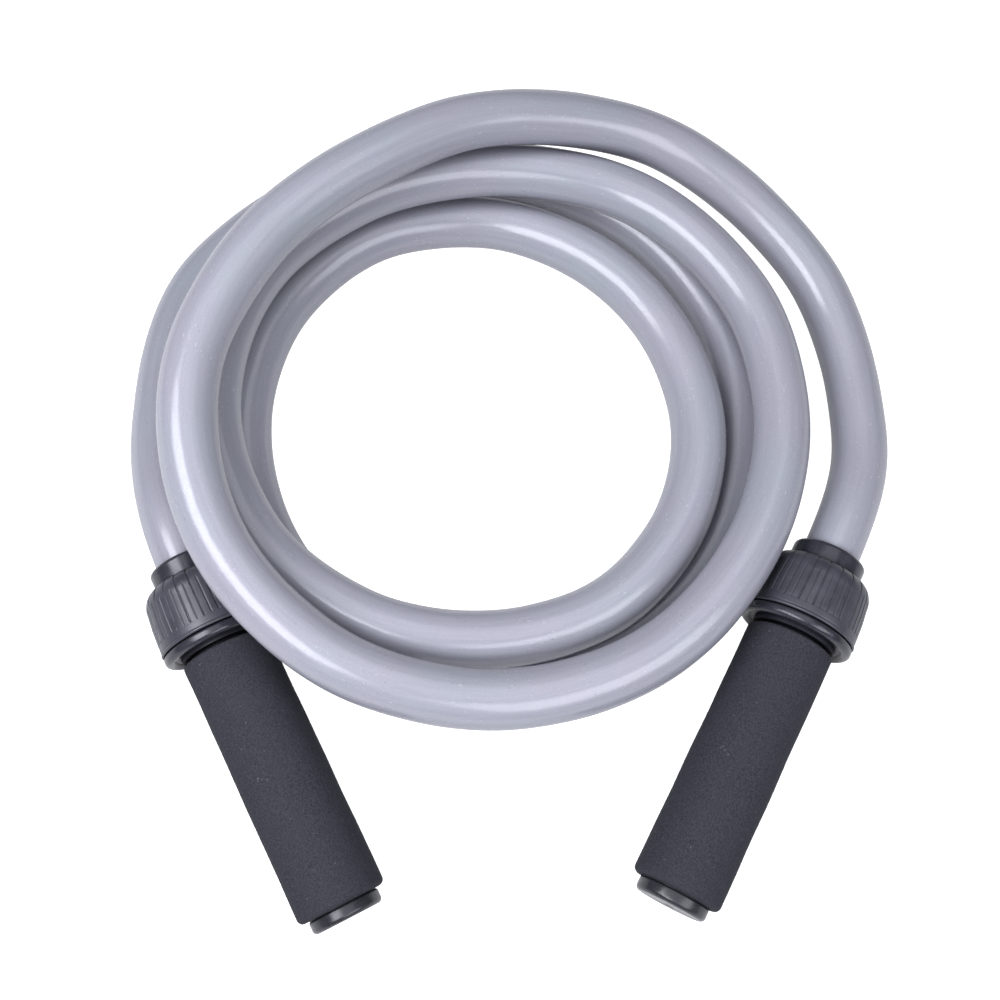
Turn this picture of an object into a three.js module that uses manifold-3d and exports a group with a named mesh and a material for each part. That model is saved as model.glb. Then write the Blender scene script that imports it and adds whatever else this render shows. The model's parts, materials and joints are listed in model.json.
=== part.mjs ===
// A heavy jump rope, laid down in a coil of about three and a half turns with both handles
// pointing the same way. Millimetres, +Z up. The floor is z = 0, and the origin lies on it, under
// the middle of the whole rope. The handles point towards -Y, and the right one is on the +X side.
//
// Each handle turns on a ball bearing. The rope end is pinned into a socket, a bolt hangs the
// socket on the bearing's inner ring, and the outer ring sits in the handle core. A screw collar
// closes the mouth of the core round the socket.

import * as THREE from "three";
import { mergeVertices } from "three/addons/utils/BufferGeometryUtils.js";
import Module from "manifold-3d";

const wasm = await Module();
wasm.setup();

// ---------------------------------------------------------------- driving dimensions

const ROPE_RADIUS = 12.5;
const ROPE_SIDES = 12;
const ROPE_STEP = 18; // distance between cross-sections along the rope

// The coil's lay, anticlockwise from the bend beside the right handle: the distance of the rope's
// centre from the coil's centre, and its height above the floor, every 30 degrees. The outermost
// turn rises over the others on the far side and comes down again towards the handles. The turns
// after it lie beneath it and inside it, and the last one runs out beneath them all to the left.
const COIL_CENTRE = new THREE.Vector2(-4.7, 26.4);
const STATION_ANGLE = 30;
const OUTER_TURN = [
  [167.6, 22], [176.4, 21], [167.6, 46], [139.9, 78], [120.6, 94], [120.3, 99],
  [129, 95], [133.5, 85], [132.4, 71], [128.4, 60], [126, 54], [124, 50],
];
const MIDDLE_TURN = [
  [126.9, 45], [132.8, 42], [134.4, 45], [128.4, 53], [125.8, 62], [127.8, 66],
  [126.2, 63], [119, 57], [107.9, 50], [99.2, 44.5], [95.5, 40.5], [91.6, 36.5],
];
const INNER_TURN = [
  [91, 33], [93.6, 31], [101.5, 30], [112.6, 30], [120.6, 33], [121.2, 34],
  [118, 30], [114.2, 23], [110, 17], [106.5, 13], [105, 12.5], [108, 12.5],
];
const FLOOR_TURN = [
  [112, 12.5], [124.8, 12.5], [138.5, 12.5], [150.5, 12.5], [167, 12.5], [171.4, 16], [157.8, 27],
];

// A handle's seam is the joint line between its collar and its core. The seam's centre is given
// from the coil's centre and above the floor. The handle points outwards by its heading and down
// by its pitch, in degrees, and its foam comes down to the floor at the far end.
const HANDLES = {
  right: { side: 1, seam: [130.9, -89.6, 26.6], heading: 27.4, pitch: 2.5 },
  left: { side: -1, seam: [-122.4, -94.6, 32.2], heading: 27, pitch: 5.5 },
};

// Along a handle's own axis, 0 is the seam and + is towards the rope.
const SOCKET_TIP = 37;
const SOCKET_FOOT = -3.6;
const SOCKET_RADIUS = 16.5;
const SOCKET_BORE = 12.85;
const SOCKET_FLOOR = 1.6;
const ROPE_END = 7.6;
const ROPE_STRAIGHT = 48; // how far the rope keeps to the handle's axis
const PIN_RADIUS = 1.5;
const PIN_LENGTH = 31;
const PIN_POSITION = 17;

const BEND_GAP = 0.8; // clearance of the ball-ended bend, which lets it swing 35 degrees

const COLLAR_FOOT = 0.35;
const COLLAR_TOP = 28.8;
const COLLAR_RADIUS = 25.9;
const COLLAR_MOUTH = 17.1;
const COLLAR_THREAD = 22;
const GRIP_RIBS = 24;
const RIB_DEPTH = 0.7;

const CORE_THREAD = 21.6;
const CORE_TOP = 14;
const CORE_CUP = 17.6;
const CORE_CUP_FLOOR = -4.2;
const CORE_TUBE = 15;
const CORE_BORE = 12.6;
const CORE_END = -126.6;
const FLANGE_RADIUS = 25.6;
const FLANGE_FOOT = -5.2;
const BEARING_SHOULDER = -7.2;
const BEARING_PASSAGE = 9.2;

const FOAM_RADIUS = 19.5;
const FOAM_BORE = 15.4;
const FOAM_TOP = -7.2;
const FOAM_END = -126;
const FOAM_ROUND = 2.5;

const CAP_RADIUS = 15.6;
const CAP_FACE = -132.2;
const CAP_TOP = -127;
const CAP_ROUND = 1.6;
const CAP_SPIGOT = 12.2;
const CAP_SPIGOT_TOP = -113;

// A small standard ball bearing: 8 mm bore, 22 mm outside, 7 mm wide, seven 4 mm balls.
const BEARING_TOP = -7.35;
const BEARING_WIDTH = 6.9;
const BEARING_MIDDLE = BEARING_TOP - BEARING_WIDTH / 2;
const BEARING_OUTSIDE = 11;
const BEARING_BORE = 4.15;
const INNER_SHOULDER = 6.05;
const OUTER_SHOULDER = 9;
const BALL_PITCH = 7.5;
const BALL_RADIUS = 1.95;
const BALL_COUNT = 7;
const BALL_TRACK = 2.12;
const CAGE_INSIDE = 6.6;
const CAGE_OUTSIDE = 8.4;
const CAGE_HALF_WIDTH = 2.9;
const CAGE_POCKET = 2.15;

const BOLT_RADIUS = 3.9;
const BOLT_END = -27;
const BOLT_HOLE = 4.2;
const HEX_RADIUS = 7.4; // across the corners of a 13 mm hexagon, halved
const BOLT_HEAD_FOOT = 1.9;
const BOLT_HEAD_HEIGHT = 5.3;
const WASHER_TOP = -14.6;
const WASHER_FOOT = -16.2;
const WASHER_RADIUS = 7;
const NUT_TOP = -16.5;
const NUT_FOOT = -24.5;
const SPACER_TOP = -3.9;
const SPACER_FOOT = -7.05;
const SPACER_RADIUS = 6;

const TURNED_SIDES = 24;
const SMALL_SIDES = 16;

// ---------------------------------------------------------------- materials

function material(color, roughness, metalness = 0) {
  return new THREE.MeshStandardMaterial({ color, roughness, metalness });
}

const materials = {
  rope: () => material(0xaaacb9, 0.42),
  foam: () => material(0x3b3b40, 0.95),
  shell: () => material(0x2c2d31, 0.5),
  cap: () => material(0x1c1d20, 0.2),
  steel: () => material(0xb8bcc2, 0.3, 1),
  cage: () => material(0xa9822f, 0.4, 1),
};

// ---------------------------------------------------------------- solids

// The manifold-3d solid of a closed three.js geometry.
function solidOf(geometry) {
  const bare = geometry.clone();
  bare.deleteAttribute("normal");
  bare.deleteAttribute("uv");
  const merged = mergeVertices(bare, 1e-4);
  const vertProperties = new Float32Array(merged.attributes.position.array);
  const triVerts = new Uint32Array(merged.index.array);
  return new wasm.Manifold(new wasm.Mesh({ numProp: 3, vertProperties, triVerts }));
}

function geometryOf(solid) {
  const mesh = solid.getMesh();
  const geometry = new THREE.BufferGeometry();
  geometry.setAttribute("position", new THREE.BufferAttribute(mesh.vertProperties, 3));
  geometry.setIndex(new THREE.BufferAttribute(mesh.triVerts, 1));
  geometry.computeVertexNormals();
  return geometry;
}

// A solid of revolution about Y. The profile is a list of [radius, y]; it starts and ends on the
// axis, or it is a ring's outline and is closed here.
function turned(profile, sides = TURNED_SIDES) {
  const outline = profile.map(([r, y]) => new THREE.Vector2(r, y));
  if (outline[0].x > 0) outline.push(outline[0].clone());
  return new THREE.LatheGeometry(outline, sides);
}

// A plain ring about Y with a square section.
function ring(inside, outside, foot, top, sides = SMALL_SIDES) {
  return turned([[inside, foot], [outside, foot], [outside, top], [inside, top]], sides);
}

// Points on an arc about (r, y), from one angle to another in degrees. 0 points outwards.
function arc(r, y, radius, from, to, steps) {
  return Array.from({ length: steps + 1 }, (_, i) => {
    const angle = THREE.MathUtils.degToRad(from + ((to - from) * i) / steps);
    return [r + radius * Math.cos(angle), y + radius * Math.sin(angle)];
  });
}

function cylinder(radius, foot, top, sides) {
  return new THREE.CylinderGeometry(radius, radius, top - foot, sides)
    .translate(0, (top + foot) / 2, 0);
}

// ---------------------------------------------------------------- the rope's course

// The unit vector along a handle's axis, towards the rope.
function handleAxis({ side, heading, pitch }) {
  const across = THREE.MathUtils.degToRad(heading);
  const down = THREE.MathUtils.degToRad(pitch);
  const flat = Math.cos(down);
  return new THREE.Vector3(side * Math.sin(across) * flat, Math.cos(across) * flat, Math.sin(down));
}

function seamCentre({ seam }) {
  return new THREE.Vector3(COIL_CENTRE.x + seam[0], COIL_CENTRE.y + seam[1], seam[2]);
}

function onHandleAxis(handle, distance) {
  return seamCentre(handle).addScaledVector(handleAxis(handle), distance);
}

function stationPoint([radius, height], index) {
  const angle = THREE.MathUtils.degToRad(index * STATION_ANGLE);
  const x = COIL_CENTRE.x + radius * Math.cos(angle);
  const y = COIL_CENTRE.y + radius * Math.sin(angle);
  return new THREE.Vector3(x, y, height);
}

const handleDistances = [ROPE_END, SOCKET_TIP, ROPE_STRAIGHT];
const stations = [...OUTER_TURN, ...MIDDLE_TURN, ...INNER_TURN, ...FLOOR_TURN].map(stationPoint);
const ropeCourse = new THREE.CatmullRomCurve3([
  ...handleDistances.map((distance) => onHandleAxis(HANDLES.right, distance)),
  ...stations,
  ...handleDistances.map((distance) => onHandleAxis(HANDLES.left, distance)).reverse(),
]);
const LENGTH_DIVISIONS = 40 * (ropeCourse.points.length - 1);
ropeCourse.arcLengthDivisions = LENGTH_DIVISIONS;

// How far along the rope a given control point lies, as a fraction of its length.
function fractionAt(index) {
  const lengths = ropeCourse.getLengths(LENGTH_DIVISIONS);
  return lengths[40 * index] / lengths[LENGTH_DIVISIONS];
}

const RIGHT_BEND = handleDistances.length;
const LEFT_BEND = ropeCourse.points.length - 1 - handleDistances.length;

class Stretch extends THREE.Curve {
  constructor(from, to) {
    super();
    this.from = from;
    this.to = to;
  }

  getPoint(t, target = new THREE.Vector3()) {
    return ropeCourse.getPointAt(THREE.MathUtils.lerp(this.from, this.to, t), target);
  }
}

function ropeStretch(from, to) {
  const section = new THREE.Shape().absarc(0, 0, ROPE_RADIUS, 0, 2 * Math.PI);
  const length = Math.abs(to - from) * ropeCourse.getLength();
  return new THREE.ExtrudeGeometry(section, {
    steps: Math.round(length / ROPE_STEP),
    curveSegments: ROPE_SIDES / 2, // three.js doubles this on a round shape
    extrudePath: new Stretch(from, to),
  });
}

function ballAt(point, radius) {
  const ball = new THREE.SphereGeometry(radius, 16, 10);
  return ball.translate(point.x, point.y, point.z);
}

// The main coil, hollowed at both ends so that the tails' round ends can turn in it.
function ropeCoil() {
  let coil = solidOf(ropeStretch(fractionAt(RIGHT_BEND), fractionAt(LEFT_BEND)));
  for (const bend of [RIGHT_BEND, LEFT_BEND]) {
    coil = coil.subtract(solidOf(ballAt(ropeCourse.points[bend], ROPE_RADIUS + BEND_GAP)));
  }
  return geometryOf(coil);
}

// One end of the rope, from its round end at the bend into the socket, drilled for the pin.
function ropeTail(handle, bend) {
  const end = bend === RIGHT_BEND ? 0 : 1;
  const stretch = solidOf(ropeStretch(...[end, fractionAt(bend)].sort((a, b) => a - b)));
  const ball = solidOf(ballAt(ropeCourse.points[bend], ROPE_RADIUS));
  const drill = pinHole(PIN_RADIUS + 0.35);
  drill.applyQuaternion(axisTurn(handle));
  drill.translate(...seamCentre(handle).toArray());
  return geometryOf(stretch.add(ball).subtract(solidOf(drill)));
}

// ---------------------------------------------------------------- handle pieces

function pinHole(radius) {
  return new THREE.CylinderGeometry(radius, radius, 2 * ROPE_RADIUS + 20, 8)
    .rotateX(Math.PI / 2)
    .translate(0, PIN_POSITION, 0);
}

// The cup that the rope end is pinned into. Its lip is the neck seen between rope and collar.
function ropeSocket() {
  const lip = 2;
  const body = turned([
    [BOLT_HOLE, SOCKET_FOOT],
    [SOCKET_RADIUS, SOCKET_FOOT],
    ...arc(SOCKET_RADIUS - lip, SOCKET_TIP - lip, lip, 0, 90, 3),
    [SOCKET_BORE, SOCKET_TIP],
    [SOCKET_BORE, SOCKET_FLOOR],
    [BOLT_HOLE, SOCKET_FLOOR],
  ]);
  return geometryOf(solidOf(body).subtract(solidOf(pinHole(PIN_RADIUS + 0.3))));
}

function retainingPin() {
  return new THREE.CylinderGeometry(PIN_RADIUS, PIN_RADIUS, PIN_LENGTH, 8)
    .rotateX(Math.PI / 2)
    .translate(0, PIN_POSITION, 0);
}

function swivelBolt() {
  const head = cylinder(HEX_RADIUS, BOLT_HEAD_FOOT, BOLT_HEAD_FOOT + BOLT_HEAD_HEIGHT, 6);
  const shank = cylinder(BOLT_RADIUS, BOLT_END, BOLT_HEAD_FOOT + 1, SMALL_SIDES);
  return geometryOf(solidOf(head).add(solidOf(shank)));
}

function lockNut() {
  const hexagon = cylinder(HEX_RADIUS, NUT_FOOT, NUT_TOP, 6);
  const bore = cylinder(BOLT_HOLE, NUT_FOOT - 1, NUT_TOP + 1, SMALL_SIDES);
  return geometryOf(solidOf(hexagon).subtract(solidOf(bore)));
}

// Half the width of a ball track where it meets a ring's shoulder.
function trackHalfAngle(shoulder) {
  return THREE.MathUtils.radToDeg(Math.acos(Math.abs(shoulder - BALL_PITCH) / BALL_TRACK));
}

function bearingInnerRing() {
  const foot = BEARING_MIDDLE - BEARING_WIDTH / 2;
  const half = trackHalfAngle(INNER_SHOULDER);
  return turned([
    [BEARING_BORE, foot],
    [INNER_SHOULDER, foot],
    ...arc(BALL_PITCH, BEARING_MIDDLE, BALL_TRACK, 180 + half, 180 - half, 3),
    [INNER_SHOULDER, BEARING_TOP],
    [BEARING_BORE, BEARING_TOP],
  ]);
}

function bearingOuterRing() {
  const foot = BEARING_MIDDLE - BEARING_WIDTH / 2;
  const half = trackHalfAngle(OUTER_SHOULDER);
  return turned([
    [OUTER_SHOULDER, foot],
    [BEARING_OUTSIDE, foot],
    [BEARING_OUTSIDE, BEARING_TOP],
    [OUTER_SHOULDER, BEARING_TOP],
    ...arc(BALL_PITCH, BEARING_MIDDLE, BALL_TRACK, half, -half, 3),
  ]);
}

function ballAngle(index) {
  return (index * 2 * Math.PI) / BALL_COUNT;
}

// A band with one round pocket for each ball.
function ballCage() {
  const foot = BEARING_MIDDLE - CAGE_HALF_WIDTH;
  const top = BEARING_MIDDLE + CAGE_HALF_WIDTH;
  let cage = solidOf(ring(CAGE_INSIDE, CAGE_OUTSIDE, foot, top, 28));
  for (let i = 0; i < BALL_COUNT; i++) {
    const pocket = new THREE.CylinderGeometry(CAGE_POCKET, CAGE_POCKET, 6, 12)
      .rotateZ(Math.PI / 2)
      .translate(BALL_PITCH, BEARING_MIDDLE, 0)
      .rotateY(ballAngle(i));
    cage = cage.subtract(solidOf(pocket));
  }
  return geometryOf(cage);
}

function bearingBall(index) {
  return new THREE.SphereGeometry(BALL_RADIUS, 8, 6)
    .translate(BALL_PITCH, BEARING_MIDDLE, 0)
    .rotateY(ballAngle(index));
}

// A bell-shaped nut with a ring of finger ribs. Every second corner round it is a groove, which
// fades out on the plain band at the foot and on the rounded shoulder.
function screwCollar() {
  const outside = [
    [COLLAR_RADIUS, COLLAR_FOOT],
    [COLLAR_RADIUS - 0.3, 5],
    [COLLAR_RADIUS - 0.3, 5.6],
    [COLLAR_RADIUS - 1.2, 17.5],
    [COLLAR_RADIUS - 2, 21.6],
    [COLLAR_RADIUS - 4, 25.6],
    [COLLAR_RADIUS - 6.6, 27.8],
    [COLLAR_MOUTH, COLLAR_TOP],
  ];
  const inside = [
    [COLLAR_MOUTH, 25.8],
    [COLLAR_THREAD, 20.5],
    [COLLAR_THREAD, COLLAR_FOOT],
  ];
  const collar = turned([...outside, ...inside], 2 * GRIP_RIBS);
  const position = collar.attributes.position;
  for (let i = 0; i < position.count; i++) {
    const x = position.getX(i);
    const z = position.getZ(i);
    const radius = Math.hypot(x, z);
    const corner = Math.round((Math.atan2(z, x) * GRIP_RIBS) / Math.PI);
    const ribbed = position.getY(i) > 5.5 && position.getY(i) < 27 && radius > COLLAR_THREAD + 0.1;
    if (corner % 2 === 0 || !ribbed) continue;
    const scale = (radius - RIB_DEPTH) / radius;
    position.setX(i, x * scale);
    position.setZ(i, z * scale);
  }
  return collar;
}

// The handle's moulded core: threaded cup, flange, bearing seat and the tube under the foam.
function handleCore() {
  return turned([
    [CORE_CUP, CORE_CUP_FLOOR],
    [BEARING_PASSAGE, CORE_CUP_FLOOR],
    [BEARING_PASSAGE, BEARING_SHOULDER],
    [BEARING_OUTSIDE + 0.2, BEARING_SHOULDER],
    [BEARING_OUTSIDE + 0.2, BEARING_TOP - BEARING_WIDTH - 0.15],
    [CORE_BORE, BEARING_TOP - BEARING_WIDTH - 0.15],
    [CORE_BORE, CORE_END],
    [CORE_TUBE, CORE_END],
    [CORE_TUBE, FLANGE_FOOT],
    [FLANGE_RADIUS - 2.2, FLANGE_FOOT],
    [FLANGE_RADIUS - 0.6, FLANGE_FOOT + 0.7],
    [FLANGE_RADIUS, FLANGE_FOOT + 2.4],
    [FLANGE_RADIUS, 0],
    [CORE_THREAD, 0],
    [CORE_THREAD, CORE_TOP],
    [CORE_CUP, CORE_TOP],
  ]);
}

function foamGrip() {
  return turned([
    [FOAM_BORE, FOAM_END],
    ...arc(FOAM_RADIUS - FOAM_ROUND, FOAM_END + FOAM_ROUND, FOAM_ROUND, -90, 0, 2),
    ...arc(FOAM_RADIUS - FOAM_ROUND, FOAM_TOP - FOAM_ROUND, FOAM_ROUND, 0, 90, 2),
    [FOAM_BORE, FOAM_TOP],
  ]);
}

function endCap() {
  return turned([
    [0, CAP_FACE],
    ...arc(CAP_RADIUS - CAP_ROUND, CAP_FACE + CAP_ROUND, CAP_ROUND, -90, 0, 2),
    ...arc(CAP_RADIUS - CAP_ROUND, CAP_TOP - CAP_ROUND, CAP_ROUND, 0, 90, 1),
    [CAP_SPIGOT, CAP_TOP],
    [CAP_SPIGOT, CAP_SPIGOT_TOP],
    [0, CAP_SPIGOT_TOP],
  ]);
}

// ---------------------------------------------------------------- assembly

function named(name, geometry, finish) {
  const mesh = new THREE.Mesh(geometry, finish());
  mesh.name = name;
  return mesh;
}

// The turn that lays the local Y axis along a handle.
function axisTurn(handle) {
  return new THREE.Quaternion().setFromUnitVectors(new THREE.Vector3(0, 1, 0), handleAxis(handle));
}

function swivelPieces(name) {
  return [
    named(`${name}_rope_socket`, ropeSocket(), materials.shell),
    named(`${name}_retaining_pin`, retainingPin(), materials.steel),
    named(`${name}_swivel_bolt`, swivelBolt(), materials.steel),
    named(`${name}_spacer`, ring(BOLT_HOLE, SPACER_RADIUS, SPACER_FOOT, SPACER_TOP), materials.steel),
    named(`${name}_bearing_inner_ring`, bearingInnerRing(), materials.steel),
    named(`${name}_washer`, ring(BOLT_HOLE, WASHER_RADIUS, WASHER_FOOT, WASHER_TOP), materials.steel),
    named(`${name}_lock_nut`, lockNut(), materials.steel),
  ];
}

function cagePieces(name) {
  const pieces = [named(`${name}_ball_cage`, ballCage(), materials.cage)];
  for (let i = 0; i < BALL_COUNT; i++) {
    pieces.push(named(`${name}_ball_${i + 1}`, bearingBall(i), materials.steel));
  }
  return pieces;
}

function gripPieces(name) {
  return [
    named(`${name}_bearing_outer_ring`, bearingOuterRing(), materials.steel),
    named(`${name}_screw_collar`, screwCollar(), materials.shell),
    named(`${name}_handle_core`, handleCore(), materials.shell),
    named(`${name}_foam_grip`, foamGrip(), materials.foam),
    named(`${name}_end_cap`, endCap(), materials.cap),
  ];
}

function handleGroup(name, handle) {
  const group = new THREE.Group();
  group.quaternion.copy(axisTurn(handle));
  group.position.copy(seamCentre(handle));
  group.add(...swivelPieces(name), ...cagePieces(name), ...gripPieces(name));
  return group;
}

const jumpRope = new THREE.Group();
jumpRope.add(named("rope_coil", ropeCoil(), materials.rope));
jumpRope.add(named("right_rope_tail", ropeTail(HANDLES.right, RIGHT_BEND), materials.rope));
jumpRope.add(named("left_rope_tail", ropeTail(HANDLES.left, LEFT_BEND), materials.rope));
jumpRope.add(handleGroup("right", HANDLES.right));
jumpRope.add(handleGroup("left", HANDLES.left));

export default jumpRope;
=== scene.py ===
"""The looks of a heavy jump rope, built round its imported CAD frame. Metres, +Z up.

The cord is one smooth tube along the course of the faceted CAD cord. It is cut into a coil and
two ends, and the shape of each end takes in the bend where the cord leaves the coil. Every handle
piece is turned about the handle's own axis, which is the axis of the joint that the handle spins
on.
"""

import json
import math

import bmesh
import bpy
import numpy as np
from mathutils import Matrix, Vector, noise


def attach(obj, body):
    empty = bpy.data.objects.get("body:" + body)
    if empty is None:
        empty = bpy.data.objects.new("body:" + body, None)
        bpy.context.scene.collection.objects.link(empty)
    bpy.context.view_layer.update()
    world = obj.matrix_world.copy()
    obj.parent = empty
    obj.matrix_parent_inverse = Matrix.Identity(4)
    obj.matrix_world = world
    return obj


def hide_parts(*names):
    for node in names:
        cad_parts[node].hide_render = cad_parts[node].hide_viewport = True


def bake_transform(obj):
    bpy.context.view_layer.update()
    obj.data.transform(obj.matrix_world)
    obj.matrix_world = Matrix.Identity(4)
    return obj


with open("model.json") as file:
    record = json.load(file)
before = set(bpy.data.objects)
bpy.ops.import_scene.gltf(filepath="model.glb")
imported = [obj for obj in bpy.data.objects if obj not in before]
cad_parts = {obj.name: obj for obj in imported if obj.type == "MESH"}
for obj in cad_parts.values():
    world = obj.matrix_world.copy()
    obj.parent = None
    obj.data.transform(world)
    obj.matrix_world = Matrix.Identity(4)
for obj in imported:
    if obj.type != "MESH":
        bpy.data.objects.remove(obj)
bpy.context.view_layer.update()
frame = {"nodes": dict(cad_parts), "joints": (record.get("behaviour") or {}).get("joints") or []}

MM = 0.001
SIDES = ("right", "left")
JOINTS = {joint["name"]: joint for joint in frame["joints"]}


# ---------------------------------------------------------------- reading the frame

def node_points(node):
    """The corners of a CAD node, as an array."""
    mesh = frame["nodes"][node].data
    points = np.zeros(len(mesh.vertices) * 3)
    mesh.vertices.foreach_get("co", points)
    return points.reshape(-1, 3)


class Axis:
    """A line through a point, for placing turned pieces round it."""

    def __init__(self, origin, along):
        self.origin = origin
        self.along = along
        self.level = np.cross((0, 0, 1), along)
        self.level /= np.linalg.norm(self.level)
        self.up = np.cross(along, self.level)

    def point(self, distance):
        return self.origin + self.along * distance

    def place(self, distance, radius, angle):
        """Points at a distance, radius and angle, as arrays of one shape."""
        outward = np.multiply.outer(np.cos(angle), self.level)
        outward = outward + np.multiply.outer(np.sin(angle), self.up)
        return self.origin + distance[..., None] * self.along + radius[..., None] * outward


class HandleAxis(Axis):
    """A handle's own axis. Distances along it are measured from the foot of the screw collar,
    and grow towards the cord."""

    def __init__(self, side):
        spin = JOINTS[f"{side}_handle_spin"]
        super().__init__(np.array(spin["pos_m"]), np.array(Vector(spin["axis"]).normalized()))
        self.side = side
        self.origin = self.point(self.span("screw_collar")[0])

    def span(self, piece):
        """Lowest and highest distance and largest and smallest radius of one CAD piece."""
        points = node_points(f"{self.side}_{piece}") - self.origin
        distance = points @ self.along
        radius = np.linalg.norm(points - np.outer(distance, self.along), axis=1)
        return distance.min(), distance.max(), radius.max(), radius.min()


AXES = {side: HandleAxis(side) for side in SIDES}


# ---------------------------------------------------------------- materials

class Shader:
    """A node material, with short calls for the nodes that the finishes share."""

    def __init__(self, name, straight=True):
        self.material = bpy.data.materials.new(name)
        self.material.use_nodes = True
        self.tree = self.material.node_tree
        self.surface = self.tree.nodes["Principled BSDF"]
        if straight:
            self.place = self.add("Attribute", attribute_name="straight").outputs["Vector"]
        else:
            self.place = self.add("TexCoord").outputs["Object"]

    def add(self, kind, inputs=None, **settings):
        node = self.tree.nodes.new("ShaderNode" + kind)
        for key, value in settings.items():
            setattr(node, key, value)
        for key, value in (inputs or {}).items():
            self.feed(node.inputs[key], value)
        return node

    def feed(self, socket, value):
        if isinstance(value, bpy.types.NodeSocket):
            self.tree.links.new(value, socket)
        else:
            socket.default_value = value

    def set(self, **values):
        for key, value in values.items():
            self.feed(self.surface.inputs[key.replace("_", " ")], value)

    def noise(self, size, detail=2.0, stretch=1.0, roughness=0.5):
        """Noise with features of about the given size, drawn out along the piece."""
        scale = (1 / size, 1 / size, 1 / (size * stretch))
        mapped = self.add("Mapping", {"Vector": self.place, "Scale": scale})
        inputs = {"Vector": mapped.outputs[0], "Scale": 1.0}
        inputs.update({"Detail": detail, "Roughness": roughness})
        return self.add("TexNoise", inputs).outputs["Fac"]

    def specks(self, spacing, size, stretch=1.0):
        """Sparse round dots: 1 at the middle of a dot and 0 away from it."""
        scale = (1 / spacing, 1 / spacing, 1 / (spacing * stretch))
        mapped = self.add("Mapping", {"Vector": self.place, "Scale": scale})
        cells = self.add("TexVoronoi", {"Vector": mapped.outputs[0], "Scale": 1.0})
        return self.remap(cells.outputs["Distance"], 0, size / spacing, 1, 0)

    def unshaded(self, reach, low, high):
        """0 in tight corners and 1 out in the open, as the mask by which the finishes paint shade
        into corners, creases and recesses.
        """
        corners = self.add("AmbientOcclusion", {"Distance": reach}, samples=6)
        return self.remap(corners.outputs["AO"], low, high)

    def remap(self, value, low, high, to_low=0.0, to_high=1.0):
        inputs = {"Value": value, "From Min": low, "From Max": high}
        inputs.update({"To Min": to_low, "To Max": to_high})
        return self.add("MapRange", inputs).outputs["Result"]

    def math(self, operation, first, second):
        node = self.add("Math", operation=operation)
        self.feed(node.inputs[0], first)
        self.feed(node.inputs[1], second)
        return node.outputs[0]

    def mix(self, share, first, second):
        node = self.add("Mix", data_type="RGBA")
        self.feed(node.inputs[0], share)
        self.feed(node.inputs[6], first)
        self.feed(node.inputs[7], second)
        return node.outputs[2]

    def bump(self, *layers):
        """Stacks (height, depth in metres) layers into the surface normal."""
        normal = None
        for height, depth in layers:
            inputs = {"Height": height, "Distance": depth, "Strength": 1.0}
            if normal is not None:
                inputs["Normal"] = normal
            normal = self.add("Bump", inputs).outputs["Normal"]
        self.set(Normal=normal)


def grey(red, green, blue):
    return (red, green, blue, 1.0)


def cord_finish():
    """Satin PVC, silver grey with a cold cast: cloudy, faintly streaked along, lightly scuffed."""
    s = Shader("silver_cord")
    cloud = s.noise(22 * MM, detail=3, stretch=2.5)
    streak = s.noise(1.3 * MM, detail=3, stretch=22)
    grain = s.noise(0.4 * MM, detail=2)
    body = s.mix(s.remap(cloud, 0.3, 0.7), grey(0.296, 0.286, 0.328), grey(0.276, 0.296, 0.322))
    body = s.mix(s.remap(streak, 0.35, 0.68, 0, 0.55), body, grey(0.25, 0.25, 0.29))
    body = s.mix(s.remap(grain, 0.4, 0.72, 0, 0.17), body, grey(0.47, 0.47, 0.53))
    rare = s.remap(s.noise(9 * MM, detail=1), 0.56, 0.62)
    dots = s.math("MULTIPLY", s.specks(2.8 * MM, 0.45 * MM, 1.6), rare)
    body = s.mix(s.math("MULTIPLY", dots, 0.45), body, grey(0.12, 0.12, 0.14))
    scuffs = s.remap(s.noise(0.5 * MM, detail=1, stretch=5), 0.69, 0.77)
    worn = s.math("MULTIPLY", scuffs, s.remap(s.noise(17 * MM, detail=2), 0.45, 0.6))
    body = s.mix(s.math("MULTIPLY", worn, 0.25), body, grey(0.56, 0.56, 0.62))
    # painted shade: the cord is mixed towards dark grey where it lies close against other strands
    # and parts, as a contact shadow
    body = s.mix(s.unshaded(10 * MM, 0.3, 0.8), grey(0.13, 0.13, 0.155), body)
    mottle = s.noise(1.1 * MM, detail=3, stretch=1.6, roughness=0.65)
    rough = s.remap(mottle, 0.36, 0.64, 0.16, 0.27)
    rough = s.math("ADD", rough, s.math("MULTIPLY", worn, 0.25))
    s.set(Base_Color=body, Roughness=rough, IOR=1.6)
    s.bump((s.noise(9 * MM, detail=2, stretch=2.5), 0.12 * MM),
           (s.noise(2.2 * MM, detail=2, stretch=1.6), 0.032 * MM),
           (s.noise(0.7 * MM, detail=2, stretch=1.5), 0.018 * MM),
           (dots, -0.04 * MM))
    return s.material


def foam_finish():
    """Closed-cell foam: charcoal, matte, pitted with fine cells, a few of them light."""
    s = Shader("charcoal_foam")
    cells = s.noise(0.75 * MM, detail=3, roughness=0.7)
    cloud = s.noise(14 * MM, detail=3)
    body = s.mix(s.remap(cells, 0.3, 0.7), grey(0.012, 0.012, 0.016), grey(0.046, 0.046, 0.057))
    body = s.mix(s.remap(cloud, 0.3, 0.7, 0, 0.4), body, grey(0.032, 0.032, 0.041))
    rare = s.remap(s.noise(5 * MM, detail=1), 0.60, 0.66)
    lint = s.math("MULTIPLY", s.specks(2.2 * MM, 0.42 * MM), rare)
    body = s.mix(s.math("MULTIPLY", lint, 0.5), body, grey(0.22, 0.22, 0.24))
    s.set(Base_Color=body, Roughness=0.85, Specular_IOR_Level=0.2)
    s.bump((s.noise(2.2 * MM, detail=2), 0.12 * MM), (cells, 0.16 * MM))
    return s.material


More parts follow.
